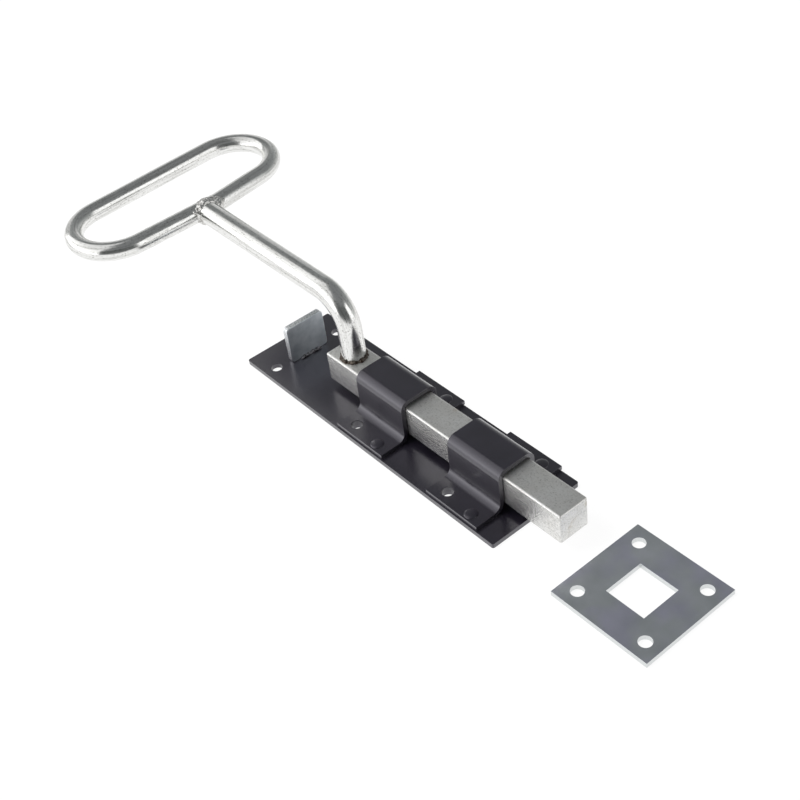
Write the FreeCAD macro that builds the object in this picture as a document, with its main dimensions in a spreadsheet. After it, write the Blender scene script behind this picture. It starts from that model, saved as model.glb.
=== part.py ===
import FreeCAD, Part
import Sketcher
import math
import os
import re

# Bow-handled door bolt: a square bar slides in two pressed straps on a long back plate,
# and a square keeper plate takes its tip.
# Frame: X along the bolt towards its tip, Y across the plate, Z up out of the plate.
# The origin is the centre of the face that lies on the door.

# Driving dimensions in millimetres, each written once.
SIZES = {
    # back plate
    "plate_length": 180.0,
    "plate_width": 51.0,
    "plate_thickness": 2.4,
    "plate_corner": 1.0,
    "rear_hole_margin": 16.0,
    # screws and rivets
    "screw_hole": 5.6,
    "screw_spacing": 38.0,
    "rivet_spacing": 42.0,
    "rivet_shank": 4.0,
    "rivet_head": 6.4,
    "rivet_head_height": 1.3,
    "rivet_tail_depth": 1.1,
    # guide straps
    "strap_width": 32.6,
    "strap_thickness": 2.2,
    "strap_span": 51.0,
    "strap_foot_bend": 3.8,
    "strap_roof_bend": 2.6,
    "guide_clearance": 0.25,
    "roof_clearance": 1.2,
    "guide_pitch": 63.6,
    "front_guide_margin": 10.8,
    "guide_screw_inset": 7.9,
    "guide_rivet_inset": 7.4,
    # stop tab
    "tab_margin": 16.2,
    "tab_thickness": 3.2,
    "tab_offset": -0.4,
    "tab_width": 22.0,
    "tab_rise": 20.6,
    "tab_corner": 2.0,
    "tab_weld_leg": 1.2,
    "tab_weld_length": 13.0,
    # square bar
    "bolt_side": 16.0,
    "bolt_edge": 1.0,
    "bolt_length": 155.8,
    "tip_setback": 4.8,
    "push_forward": 7.5,
    "bolt_lift": 3.8,
    "bolt_overhang": 22.7,
    "bolt_end_chamfer": 0.5,
    # stem
    "stem_rod": 11.8,
    "stem_inset": 11.8,
    "stem_bend": 16.0,
    "stem_bite": 1.5,
    "stem_weld_leg": 0.9,
    # bow grip
    "grip_rod": 9.7,
    "grip_height": 54.0,
    "grip_reach": 117.7,
    "grip_bend": 22.1,
    "grip_near_arm": 39.2,
    "grip_far_arm": 34.6,
    "grip_skew": 4.2,
    "grip_joint_bend": 30.0,
    "grip_weld_bead": 1.8,
    # keeper plate
    "keeper_distance": 34.9,
    "keeper_side": 51.0,
    "keeper_thickness": 2.5,
    "keeper_offset": -0.9,
    "keeper_mouth": 20.0,
    "keeper_hole": 6.0,
    "keeper_hole_spacing": 36.0,
}

doc = FreeCAD.newDocument("door_bolt")
sheet = doc.addObject("Spreadsheet::Sheet", "sizes")
for row, (alias, number) in enumerate(SIZES.items(), start=1):
    sheet.set(f"A{row}", alias)
    sheet.set(f"B{row}", str(number))
    sheet.setAlias(f"B{row}", alias)
doc.recompute()

# Places that several pieces share, worked out from the driving dimensions. Drawn back, the bar meets
# the tab with its tip behind the plate's front end by tip_setback; at rest it stands out by
# bolt_overhang. The gaps behind, between and before the two guides share what the plate leaves.
TAB_REAR_X = "(tab_margin - plate_length / 2)"
TAB_FRONT_X = f"({TAB_REAR_X} + tab_thickness)"
BAR_REAR = f"({TAB_FRONT_X} + tip_setback + bolt_overhang)"
BAR_MIDDLE = f"({BAR_REAR} + bolt_length / 2)"
BAR_FLOOR = "(plate_thickness + bolt_lift)"
BAR_TOP = f"({BAR_FLOOR} + bolt_side)"
STEM_X = f"({BAR_REAR} + stem_inset)"
STEM_FRONT_X = f"({STEM_X} + stem_rod / 2 + stem_weld_leg)"
GRIP_NEAR_X = f"({STEM_X} - grip_reach)"
GRIP_FACE_X = f"({GRIP_NEAR_X} + grip_rod / 2)"
GUIDE_GAP = "(guide_pitch - strap_width)"
GUIDE_ROOM = f"(plate_length / 2 - {STEM_FRONT_X} - 2 * strap_width)"
GUIDE_SHARE = f"({GUIDE_ROOM} / (push_forward + {GUIDE_GAP} + front_guide_margin))"
FRONT_GUIDE_X = f"(plate_length / 2 - strap_width / 2 - front_guide_margin * {GUIDE_SHARE})"
REAR_GUIDE_X = f"({FRONT_GUIDE_X} - strap_width - {GUIDE_GAP} * {GUIDE_SHARE})"
GUIDE_SCREW = "(guide_screw_inset - strap_width / 2)"
GUIDE_RIVET = "(strap_width / 2 - guide_rivet_inset)"
FLANGE_TOP = "(plate_thickness + strap_thickness)"
GUIDES = {"rear_guide": REAR_GUIDE_X, "front_guide": FRONT_GUIDE_X}
SIDES = {"near": -1, "far": 1}


def linked(text):
    """An expression in the sheet's aliases, as another object has to write it."""
    return re.sub(r"[a-z_]+", lambda word: "sizes." + word[0] if word[0] in SIZES else word[0], text)


def size(text):
    """The value in millimetres of an expression in the sheet's aliases."""
    return float(sheet.evalExpression(linked(text)))


def bind(thing, place, text):
    """Ties one property of a feature to the sheet."""
    thing.setExpression(place, linked(text))


def new_body(label):
    body = doc.addObject("PartDesign::Body", label)
    body.Label = label
    return body


def new_sketch(body, name, role, lift="0"):
    """A sketch on one of the body's own origin planes, raised along that plane's normal."""
    sketch = body.newObject("Sketcher::SketchObject", name)
    plane = [feature for feature in body.Origin.OriginFeatures if feature.Role == role][0]
    sketch.AttachmentSupport = [(plane, "")]
    sketch.MapMode = "FlatFace"
    bind(sketch, "AttachmentOffset.Base.z", lift)
    return sketch


def dimension(sketch, kind, refs, text):
    """A driving dimension of a sketch, bound to the sheet."""
    index = sketch.addConstraint(Sketcher.Constraint(kind, *refs, size(text)))
    name = f"{kind}_{index}"
    sketch.renameConstraint(index, name)
    bind(sketch, f"Constraints.{name}", text)


def place_point(sketch, ref, across, up):
    """Fixes a point of a sketch: a coordinate of None lies on the sketch's own axis."""
    if across is None:
        sketch.addConstraint(Sketcher.Constraint("PointOnObject", *ref, -2))
    else:
        dimension(sketch, "DistanceX", (-1, 1, *ref), across)
    if up is None:
        sketch.addConstraint(Sketcher.Constraint("PointOnObject", *ref, -1))
    else:
        dimension(sketch, "DistanceY", (-1, 1, *ref), up)


def circle(sketch, across, up, diameter):
    centre = FreeCAD.Vector(size(across or "0"), size(up or "0"), 0)
    index = sketch.addGeometry(Part.Circle(centre, FreeCAD.Vector(0, 0, 1), size(diameter) / 2))
    place_point(sketch, (index, 3), across, up)
    dimension(sketch, "Diameter", (index,), diameter)
    return index


def outline(sketch, corners, closed=True):
    """Lines along the sketch's two axes, with a tangent arc at each corner that has a radius."""
    points = [FreeCAD.Vector(size(across), size(up), 0) for across, up, _ in corners]
    radii = [size(radius) if radius else 0 for _, _, radius in corners]
    last = len(corners) if closed else len(corners) - 1
    for i in range(last):
        j = (i + 1) % len(corners)
        way = (points[j] - points[i]).normalize()
        start = points[i] + way * radii[i]
        end = points[j] - way * radii[j]
        sketch.addGeometry(Part.LineSegment(start, end))
        if corners[i][1] == corners[j][1]:
            sketch.addConstraint(Sketcher.Constraint("Horizontal", i))
            dimension(sketch, "DistanceY", (-1, 1, i, 1), corners[i][1])
        else:
            sketch.addConstraint(Sketcher.Constraint("Vertical", i))
            dimension(sketch, "DistanceX", (-1, 1, i, 1), corners[i][0])
    for i in range(0 if closed else 1, last):
        before = (i - 1) % len(corners)
        if not corners[i][2]:
            sketch.addConstraint(Sketcher.Constraint("Coincident", before, 2, i, 1))
            continue
        into = (points[i] - points[before]).normalize()
        out = (points[(i + 1) % len(corners)] - points[i]).normalize()
        middle = points[i] + (out - into) * radii[i]
        left_turn = into.cross(out).z > 0
        begin, finish = (-into, out) if left_turn else (out, -into)
        angles = [spoke_angle(points[i] + step * radii[i] - middle) for step in (begin, finish)]
        whole = Part.Circle(middle, FreeCAD.Vector(0, 0, 1), radii[i])
        arc = sketch.addGeometry(Part.ArcOfCircle(whole, *angles))
        first, second = (1, 2) if left_turn else (2, 1)
        sketch.addConstraint(Sketcher.Constraint("Tangent", before, 2, arc, first))
        sketch.addConstraint(Sketcher.Constraint("Tangent", arc, second, i, 1))
        dimension(sketch, "Radius", (arc,), corners[i][2])


def spoke_angle(spoke):
    return math.atan2(spoke.y, spoke.x)


def box_outline(sketch, left, right, bottom, top, radius):
    outline(sketch, [(left, bottom, radius), (right, bottom, radius),
                     (right, top, radius), (left, top, radius)])


def pad(body, sketch, length, symmetric=False):
    feature = body.newObject("PartDesign::Pad", sketch.Name + "_pad")
    feature.Profile = sketch
    feature.SideType = "Symmetric" if symmetric else "One side"
    bind(feature, "Length", length)
    return feature


def cut_through(body, sketch):
    """Cuts a profile right through the body, both ways from its sketch, and checks that it cut."""
    doc.recompute()
    before = body.Shape.Volume
    feature = body.newObject("PartDesign::Pocket", sketch.Name + "_cut")
    feature.Profile = sketch
    feature.Type = "ThroughAll"
    feature.SideType = "Symmetric"
    doc.recompute()
    if body.Shape.Volume >= before:
        raise RuntimeError(f"{feature.Name} cuts nothing")
    return feature


def edges_where(feature, test):
    """The names of the edges of a finished feature that pass a test."""
    doc.recompute()
    return [f"Edge{number}" for number, edge in enumerate(feature.Shape.Edges, start=1) if test(edge)]


def at_height(edge, height):
    box = edge.BoundBox
    return abs(box.ZMin - height) < TOLERANCE and abs(box.ZMax - height) < TOLERANCE


def is_circle(edge, diameter):
    return isinstance(edge.Curve, Part.Circle) and abs(edge.Curve.Radius - diameter / 2) < TOLERANCE


TOLERANCE = 0.001


def make_back_plate():
    """Flat steel plate with the holes of every screw and rivet."""
    body = new_body("back_plate")
    blank = new_sketch(body, "plate_blank", "XY_Plane")
    half_length, half_width = "plate_length / 2", "plate_width / 2"
    box_outline(blank, f"-{half_length}", half_length, f"-{half_width}", half_width, "plate_corner")
    pad(body, blank, "plate_thickness")
    holes = new_sketch(body, "plate_screw_holes", "XY_Plane")
    rivets = new_sketch(body, "plate_rivet_holes", "XY_Plane")
    for side in SIDES.values():
        screw_y = f"{side} * screw_spacing / 2"
        circle(holes, "rear_hole_margin - plate_length / 2", screw_y, "screw_hole")
        for guide_x in GUIDES.values():
            circle(holes, f"{guide_x} + {GUIDE_SCREW}", screw_y, "screw_hole")
            circle(rivets, f"{guide_x} + {GUIDE_RIVET}", f"{side} * rivet_spacing / 2", "rivet_shank")
    cut_through(body, holes)
    drilled = cut_through(body, rivets)
    mouths = edges_where(drilled, lambda edge: at_height(edge, 0) and is_circle(edge, size("rivet_shank")))
    sink = body.newObject("PartDesign::Chamfer", "plate_countersinks")
    sink.Base = (drilled, mouths)
    bind(sink, "Size", "rivet_tail_depth")


def make_guide(label, middle_x):
    """Strap pressed round the bar: one thickness all along, with tangent bends."""
    body = new_body(label)
    inner, floor, flange = "bolt_side / 2 + guide_clearance", "plate_thickness", FLANGE_TOP
    outer = f"{inner} + strap_thickness"
    roof = f"{BAR_TOP} + roof_clearance"
    crown = f"{roof} + strap_thickness"
    under_bend = "strap_foot_bend + strap_thickness"
    crown_bend = "strap_roof_bend + strap_thickness"
    end = "strap_span / 2"
    section = new_sketch(body, label + "_section", "YZ_Plane")
    outline(section, [
        (f"-({end})", floor, None),
        (f"-({inner})", floor, under_bend),
        (f"-({inner})", roof, "strap_roof_bend"),
        (inner, roof, "strap_roof_bend"),
        (inner, floor, under_bend),
        (end, floor, None),
        (end, flange, None),
        (outer, flange, "strap_foot_bend"),
        (outer, crown, crown_bend),
        (f"-({outer})", crown, crown_bend),
        (f"-({outer})", flange, "strap_foot_bend"),
        (f"-({end})", flange, None),
    ])
    pad(body, section, "strap_width", symmetric=True)
    holes = new_sketch(body, label + "_holes", "XY_Plane")
    for side in SIDES.values():
        circle(holes, GUIDE_SCREW, f"{side} * screw_spacing / 2", "screw_hole")
        circle(holes, GUIDE_RIVET, f"{side} * rivet_spacing / 2", "rivet_shank")
    cut_through(body, holes)
    bind(body, "Placement.Base.x", middle_x)


def make_rivet(label, x, y):
    """Dome-headed rivet with its tail set flush in the plate's countersink."""
    body = new_body(label)
    sketch = new_sketch(body, label + "_section", "XZ_Plane")
    tail = "rivet_shank / 2 + rivet_tail_depth"
    shank, head = "rivet_shank / 2", "rivet_head / 2"
    crown = f"{FLANGE_TOP} + rivet_head_height"
    points = [("0", "0"), (tail, "0"), (shank, "rivet_tail_depth"), (shank, FLANGE_TOP),
              (head, FLANGE_TOP), ("0", crown)]
    spots = [FreeCAD.Vector(size(across), size(up), 0) for across, up in points]
    for start, end in zip(spots[:-2], spots[1:-1]):
        sketch.addGeometry(Part.LineSegment(start, end))
    ball = f"(({head}) ^ 2 + rivet_head_height ^ 2) / (2 * rivet_head_height)"
    middle = FreeCAD.Vector(0, size(f"{crown} - {ball}"), 0)
    whole = Part.Circle(middle, FreeCAD.Vector(0, 0, 1), size(ball))
    dome = sketch.addGeometry(Part.ArcOfCircle(whole, spoke_angle(spots[4] - middle), math.pi / 2))
    axis = sketch.addGeometry(Part.LineSegment(spots[5], spots[0]))
    for line in range(len(spots) - 3):
        sketch.addConstraint(Sketcher.Constraint("Coincident", line, 2, line + 1, 1))
    sketch.addConstraint(Sketcher.Constraint("Coincident", dome - 1, 2, dome, 1))
    sketch.addConstraint(Sketcher.Constraint("Coincident", dome, 2, axis, 1))
    sketch.addConstraint(Sketcher.Constraint("Coincident", axis, 2, 0, 1))
    sketch.addConstraint(Sketcher.Constraint("Coincident", axis, 2, -1, 1))
    sketch.addConstraint(Sketcher.Constraint("PointOnObject", dome, 3, -2))
    place_point(sketch, (0, 2), tail, None)
    place_point(sketch, (1, 2), shank, "rivet_tail_depth")
    place_point(sketch, (2, 2), shank, FLANGE_TOP)
    place_point(sketch, (3, 2), head, FLANGE_TOP)
    place_point(sketch, (axis, 1), None, crown)
    turned = body.newObject("PartDesign::Revolution", label + "_turned")
    turned.Profile = sketch
    turned.ReferenceAxis = (sketch, ["V_Axis"])
    bind(body, "Placement.Base.x", x)
    bind(body, "Placement.Base.y", y)


def make_stop_tab():
    """Sheared steel tab standing on edge across the plate."""
    body = new_body("stop_tab")
    half = "tab_width / 2"
    face = new_sketch(body, "tab_face", "YZ_Plane")
    box_outline(face, f"-({half})", half, "plate_thickness", "plate_thickness + tab_rise", "tab_corner")
    pad(body, face, "tab_thickness")
    bind(body, "Placement.Base.x", TAB_REAR_X)
    bind(body, "Placement.Base.y", "tab_offset")


def make_tab_weld(label, foot_x, way):
    """Fillet bead in the corner of tab and plate, round in section."""
    bead = doc.addObject("Part::Cylinder", label + "_bead")
    bind(bead, "Radius", "tab_weld_leg")
    bind(bead, "Height", "tab_weld_length")
    bead.Angle = 90
    turn = FreeCAD.Rotation(FreeCAD.Vector(1, 0, 0), 90)
    if way < 0:
        turn = FreeCAD.Rotation(FreeCAD.Vector(0, 0, 1), 180).multiply(turn)
    bead.Placement = FreeCAD.Placement(FreeCAD.Vector(), turn)
    bind(bead, "Placement.Base.x", foot_x)
    bind(bead, "Placement.Base.y", f"tab_offset + {way} * tab_weld_length / 2")
    bind(bead, "Placement.Base.z", "plate_thickness")
    bead.Label = label


def make_bolt_bar():
    """Square bar, its long edges eased, its ends chamfered."""
    body = new_body("bolt_bar")
    half = "bolt_side / 2"
    section = new_sketch(body, "bar_section", "YZ_Plane")
    box_outline(section, f"-({half})", half, BAR_FLOOR, BAR_TOP, "bolt_edge")
    drawn = pad(body, section, "bolt_length", symmetric=True)
    ends = edges_where(drawn, lambda edge: edge.BoundBox.XLength < TOLERANCE)
    eased = body.newObject("PartDesign::Chamfer", "bar_end_chamfers")
    eased.Base = (drawn, ends)
    bind(eased, "Size", "bolt_end_chamfer")
    bind(body, "Placement.Base.x", BAR_MIDDLE)


def make_handle_stem():
    """Round rod, upright on the bar and bent over to the rear, coped round the bow's rod."""
    body = new_body("handle_stem")
    path = new_sketch(body, "stem_path", "XZ_Plane")
    end_x = f"{GRIP_FACE_X} - stem_bite"
    outline(path, [(STEM_X, BAR_TOP, None), (STEM_X, "grip_height", "stem_bend"),
                   (end_x, "grip_height", None)], closed=False)
    dimension(path, "DistanceY", (-1, 1, 0, 1), BAR_TOP)
    dimension(path, "DistanceX", (-1, 1, 1, 2), end_x)
    section = new_sketch(body, "stem_section", "XY_Plane", BAR_TOP)
    circle(section, STEM_X, None, "stem_rod")
    swept = body.newObject("PartDesign::AdditivePipe", "stem_bent_rod")
    swept.Profile = section
    swept.Spine = path
    cope = new_sketch(body, "stem_cope", "XZ_Plane")
    circle(cope, GRIP_NEAR_X, "grip_height", "grip_rod")
    cut_through(body, cope)
    return body


def tangent_spoke(arc, radius, next_arc, next_radius):
    """The angle at which a line leaves one arc so that it meets the next one smoothly."""
    way = next_arc - arc
    return (spoke_angle(way) - math.acos((radius - next_radius) / way.Length)) % (2 * math.pi)


def make_bow_grip():
    """Rod bent to a closed bow and lying level, its near side bent a little where the stem meets it."""
    body = new_body("bow_grip")
    path = new_sketch(body, "grip_path", "XY_Plane", "grip_height")
    low, joint = "-grip_near_arm", "stem_rod / 2"
    high_x, high_y = f"{GRIP_NEAR_X} - grip_bend - grip_skew", "grip_far_arm"
    arcs = [
        (FreeCAD.Vector(size(f"{GRIP_NEAR_X} - grip_joint_bend"), size(joint), 0), size("grip_joint_bend")),
        (FreeCAD.Vector(size(high_x), size(high_y), 0), size("grip_bend")),
        (FreeCAD.Vector(size(f"{GRIP_NEAR_X} - grip_bend"), size(low), 0), size("grip_bend")),
    ]
    spokes = [0] + [tangent_spoke(*arcs[i], *arcs[i + 1]) for i in range(2)] + [2 * math.pi]
    end = FreeCAD.Vector(size(GRIP_NEAR_X), size(low), 0)
    for i, (middle, radius) in enumerate(arcs):
        whole = Part.Circle(middle, FreeCAD.Vector(0, 0, 1), radius)
        arc = Part.ArcOfCircle(whole, spokes[i], spokes[i + 1])
        path.addGeometry(Part.LineSegment(end, arc.StartPoint))
        path.addGeometry(arc)
        end = arc.EndPoint
    pieces = 2 * len(arcs)
    for index in range(pieces):
        path.addConstraint(Sketcher.Constraint("Tangent", index, 2, (index + 1) % pieces, 1))
    path.addConstraint(Sketcher.Constraint("Vertical", 0))
    place_point(path, (0, 1), GRIP_NEAR_X, low)
    dimension(path, "DistanceY", (-1, 1, 0, 2), joint)
    place_point(path, (3, 3), high_x, high_y)
    for arc, radius in ((1, "grip_joint_bend"), (3, "grip_bend"), (5, "grip_bend")):
        dimension(path, "Radius", (arc,), radius)
    section = new_sketch(body, "grip_section", "XZ_Plane", "grip_near_arm")
    circle(section, GRIP_NEAR_X, "grip_height", "grip_rod")
    swept = body.newObject("PartDesign::AdditivePipe", "grip_bent_rod")
    swept.Profile = section
    swept.Spine = path
    return body


def turned_ring(body, corners, axis_name):
    """Turns a closed outline of straight lines about one axis of its sketch."""
    section = new_sketch(body, body.Label + "_section", "XZ_Plane")
    points = [FreeCAD.Vector(size(across), size(up), 0) for across, up in corners]
    for i in range(len(points)):
        section.addGeometry(Part.LineSegment(points[i - 1], points[i]))
    for i, (across, up) in enumerate(corners):
        section.addConstraint(Sketcher.Constraint("Coincident", i, 2, (i + 1) % len(points), 1))
        place_point(section, (i, 2), across, up)
    turned = body.newObject("PartDesign::Revolution", body.Label + "_turned")
    turned.Profile = section
    turned.ReferenceAxis = (section, [axis_name])


def make_stem_weld():
    """Fillet bead run round the foot of the stem."""
    body = new_body("stem_weld")
    foot = "stem_rod / 2"
    turned_ring(body, [(foot, BAR_TOP), (f"{foot} + stem_weld_leg", BAR_TOP),
                       (foot, f"{BAR_TOP} + stem_weld_leg")], "V_Axis")
    bind(body, "Placement.Base.x", STEM_X)


def make_grip_weld(stem, grip):
    """Bead laid round the end of the stem where it meets the bow, less both rods."""
    ring = new_body("grip_weld_ring")
    bead, middle = "grip_weld_bead", "stem_rod / 2"
    turned_ring(ring, [(f"-{bead}", middle), (f"-{bead} / 2", f"{middle} - {bead}"),
                       (f"{bead} / 2", f"{middle} - {bead}"), (bead, middle),
                       (f"{bead} / 2", f"{middle} + {bead}"), (f"-{bead} / 2", f"{middle} + {bead}")], "H_Axis")
    bind(ring, "Placement.Base.x", GRIP_FACE_X)
    bind(ring, "Placement.Base.z", "grip_height")
    for rod_body in (stem, grip):
        cut = doc.addObject("Part::Cut", f"grip_weld_less_{rod_body.Label}")
        cut.Base = ring
        cut.Tool = rod_body
        ring = cut
    ring.Label = "grip_weld"


def make_keeper_plate():
    """Square plate with a square mouth for the bar's tip and a screw hole at each corner."""
    body = new_body("keeper_plate")
    half, mouth, hole = "keeper_side / 2", "keeper_mouth / 2", "keeper_hole_spacing / 2"
    blank = new_sketch(body, "keeper_blank", "XY_Plane")
    box_outline(blank, f"-({half})", half, f"-({half})", half, None)
    pad(body, blank, "keeper_thickness")
    openings = new_sketch(body, "keeper_openings", "XY_Plane")
    box_outline(openings, f"-({mouth})", mouth, f"-({mouth})", mouth, None)
    for side in SIDES.values():
        for end in SIDES.values():
            circle(openings, f"{end} * {hole}", f"{side} * {hole}", "keeper_hole")
    cut_through(body, openings)
    bind(body, "Placement.Base.x", "plate_length / 2 + keeper_distance + keeper_side / 2")
    bind(body, "Placement.Base.y", "keeper_offset")


make_back_plate()
for guide, guide_x in GUIDES.items():
    make_guide(guide, guide_x)
    for side_name, side in SIDES.items():
        make_rivet(f"{guide}_rivet_{side_name}", f"{guide_x} + {GUIDE_RIVET}", f"{side} * rivet_spacing / 2")
make_stop_tab()
make_tab_weld("stop_tab_front_weld", TAB_FRONT_X, 1)
make_tab_weld("stop_tab_rear_weld", TAB_REAR_X, -1)
make_bolt_bar()
make_stem_weld()
make_grip_weld(make_handle_stem(), make_bow_grip())
make_keeper_plate()
doc.recompute()

NODES = ["back_plate", "rear_guide", "front_guide"]
NODES += [f"{guide}_rivet_{side_name}" for guide in GUIDES for side_name in SIDES]
NODES += ["stop_tab", "stop_tab_front_weld", "stop_tab_rear_weld", "bolt_bar", "handle_stem",
          "stem_weld", "bow_grip", "grip_weld", "keeper_plate"]

for thing in doc.Objects:
    if "Invalid" in thing.State or "Error" in thing.State:
        raise RuntimeError(f"{thing.Label} failed: {thing.State}")
os.makedirs("parts", exist_ok=True)
solids = {node: doc.getObjectsByLabel(node)[0].Shape for node in NODES}
for node, solid in solids.items():
    if solid.isNull() or not solid.isValid():
        raise RuntimeError(f"{node} has no valid shape")
for node, solid in solids.items():
    solid.exportStep(f"parts/{node}.step")
    print(node, len(solid.Solids), "solid", round(solid.Volume, 1), "mm3")
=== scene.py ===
# %% [markdown]
# # Dressing a door bolt with a bow handle
# The imported model holds the true sizes: a black back plate, two guides, a square steel bar with a
# bent rod handle, and a loose square keeper. This lesson gives each piece the surface of the real
# one. It starts by loading the model.

# %% Load the imported model
import math

import bmesh
import bpy
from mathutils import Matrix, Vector


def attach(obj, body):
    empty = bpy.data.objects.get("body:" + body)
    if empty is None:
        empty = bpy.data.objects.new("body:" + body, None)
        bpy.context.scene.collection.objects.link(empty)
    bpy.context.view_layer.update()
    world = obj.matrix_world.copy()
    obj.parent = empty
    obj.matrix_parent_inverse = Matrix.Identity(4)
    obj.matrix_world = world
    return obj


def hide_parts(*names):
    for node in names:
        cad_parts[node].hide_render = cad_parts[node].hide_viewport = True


MM = 0.001

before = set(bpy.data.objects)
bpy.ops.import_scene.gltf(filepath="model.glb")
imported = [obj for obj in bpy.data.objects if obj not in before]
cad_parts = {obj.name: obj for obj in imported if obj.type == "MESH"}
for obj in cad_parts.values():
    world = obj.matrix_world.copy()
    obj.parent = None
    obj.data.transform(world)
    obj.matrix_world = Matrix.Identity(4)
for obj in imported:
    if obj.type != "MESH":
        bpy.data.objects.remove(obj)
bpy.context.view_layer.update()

# %% [markdown]
# The camera looks down on the bolt from its near right. Its place and turn were worked out from the
# plate's corners in the photograph, and a moderately long lens keeps the far end from shrinking.

# %% Camera
CAMERA_PLACE_MM = (385.62, -262.96, 413.90)
CAMERA_TURN_DEGREES = (48.995, 6.506, 50.018)
CAMERA_LENS_MM = 59.90

camera = bpy.data.objects.new("camera", bpy.data.cameras.new("camera"))
bpy.context.collection.objects.link(camera)
camera.data.lens = CAMERA_LENS_MM
camera.location = Vector(CAMERA_PLACE_MM) * MM
camera.rotation_euler = [math.radians(turn) for turn in CAMERA_TURN_DEGREES]
bpy.context.scene.camera = camera
bpy.context.scene.view_settings.view_transform = "Standard"
print("camera at", [round(x, 3) for x in camera.location])

# %% [markdown]
# Colours are written as the sRGB hex values that a paint chart gives, and Blender wants linear
# light, so one function turns them. The next adds a node, sets its settings, and either fills or
# links each input, so that a material reads from top to bottom. A third tells the eye and mirrors
# from matt surfaces, for the paper and the sky, which only the eye and mirrors see at full glow.

# %% Colour and node helpers
def linear(hex_colour):
    """Linear RGBA of an sRGB hex colour."""
    parts = [int(hex_colour[i:i + 2], 16) / 255 for i in (0, 2, 4)]
    light = [part / 12.92 if part <= 0.04045 else ((part + 0.055) / 1.055) ** 2.4 for part in parts]
    return (*light, 1.0)


def add_node(tree, kind, inputs=None, stops=None, **settings):
    """Adds a node, sets its settings, and fills or links its inputs; stops are a colour ramp's."""
    node = tree.nodes.new(kind)
    for name, value in settings.items():
        setattr(node, name, value)
    for name, value in (inputs or {}).items():
        if isinstance(value, bpy.types.NodeSocket):
            tree.links.new(value, node.inputs[name])
        else:
            node.inputs[name].default_value = value
    if stops:
        while len(node.color_ramp.elements) < len(stops):
            node.color_ramp.elements.new(1.0)
        for element, (place, colour) in zip(node.color_ramp.elements, stops):
            element.position = place
            element.color = colour
    return node


def seen_directly(tree):
    """The tree's light path node, and a value of 1 for the eye, for mirrors and through glass."""
    path = add_node(tree, "ShaderNodeLightPath")
    seen = add_node(tree, "ShaderNodeMath", {
        0: path.outputs["Is Camera Ray"], 1: path.outputs["Is Glossy Ray"]}, operation="MAXIMUM")
    seen = add_node(tree, "ShaderNodeMath", {
        0: seen.outputs[0], 1: path.outputs["Is Transmission Ray"]}, operation="MAXIMUM")
    return path, seen.outputs[0]


print("mid grey 808080 is", round(linear("808080")[0], 3), "in linear light")

# %% [markdown]
# The bolt lies on white paper. The camera, and mirrors on the object, see the paper nearly white,
# and a small share of plain diffuse white under that keeps the soft shadows where pieces touch it.
# In mirrors the paper fades with its distance, as it does beyond the lights of a studio.

# %% Floor
FLOOR_SIDE = 6.0
PAPER_GLOW_SHARE = 0.88
PAPER_GLOW_SEEN = 1.05
PAPER_FADE_START, PAPER_FADE_END = 0.25, 0.9

bpy.ops.mesh.primitive_plane_add(size=FLOOR_SIDE, location=(0, 0, 0))
floor = bpy.context.object
floor.name = "floor"

white_paper = bpy.data.materials.new("white_paper")
white_paper.use_nodes = True
tree = white_paper.node_tree
tree.nodes.clear()
path, seen = seen_directly(tree)
share = add_node(tree, "ShaderNodeMath", {0: seen, 1: PAPER_GLOW_SHARE}, operation="MULTIPLY")
matt = add_node(tree, "ShaderNodeBsdfDiffuse", {"Color": linear("F2F2F2")})
where = add_node(tree, "ShaderNodeTexCoord")
reach = add_node(tree, "ShaderNodeVectorMath", {0: where.outputs["Object"]}, operation="LENGTH")
fade = add_node(tree, "ShaderNodeMapRange", {
    "Value": reach.outputs["Value"], "From Min": PAPER_FADE_START, "From Max": PAPER_FADE_END,
    "To Min": 0.98, "To Max": 0.6}, interpolation_type="SMOOTHSTEP")
mirrored = add_node(tree, "ShaderNodeMix", {
    "Factor": path.outputs["Is Camera Ray"], 2: fade.outputs[0], 3: PAPER_GLOW_SEEN},
    data_type="FLOAT")
glow = add_node(tree, "ShaderNodeEmission", {
    "Color": linear("FFFFFF"), "Strength": mirrored.outputs[0]})
mixed = add_node(tree, "ShaderNodeMixShader", {
    0: share.outputs[0], 1: matt.outputs[0], 2: glow.outputs[0]})
add_node(tree, "ShaderNodeOutputMaterial", {"Surface": mixed.outputs[0]})
floor.data.materials.append(white_paper)
print("floor side in metres:", FLOOR_SIDE)

# %% [markdown]
# Bright rod shows little but its surroundings, so the room is what shapes it. The world is white to
# the eye and to mirrors, and plain grey light to matt surfaces. Inside it stands a round dark tent
# that only mirrors see: darkest behind the camera, and paler low down on the far side.

# %% World and tent
WORLD_LIGHT = 0.40
TENT_RADIUS = 2.8
TENT_RINGS = 32
FAR_DIRECTION = (-0.26, 0.97, 0.0)
TENT_FAR = [(0.00, "C4C6C5"), (0.10, "BCBEBD"), (0.30, "A6A8A8"),
            (0.50, "808383"), (0.75, "77797A"), (1.00, "747677")]
TENT_NEAR = [(0.00, "8C8E8E"), (0.06, "666868"), (0.30, "565858"),
             (0.60, "606262"), (0.75, "747677"), (1.00, "747677")]

world = bpy.data.worlds.new("white_room")
bpy.context.scene.world = world
world.use_nodes = True
tree = world.node_tree
tree.nodes.clear()
path, seen = seen_directly(tree)
strength = add_node(tree, "ShaderNodeMapRange", {
    "Value": seen, "To Min": WORLD_LIGHT, "To Max": 1.0})
sky = add_node(tree, "ShaderNodeBackground", {
    "Color": linear("FFFFFF"), "Strength": strength.outputs[0]})
add_node(tree, "ShaderNodeOutputWorld", {"Surface": sky.outputs[0]})

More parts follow.
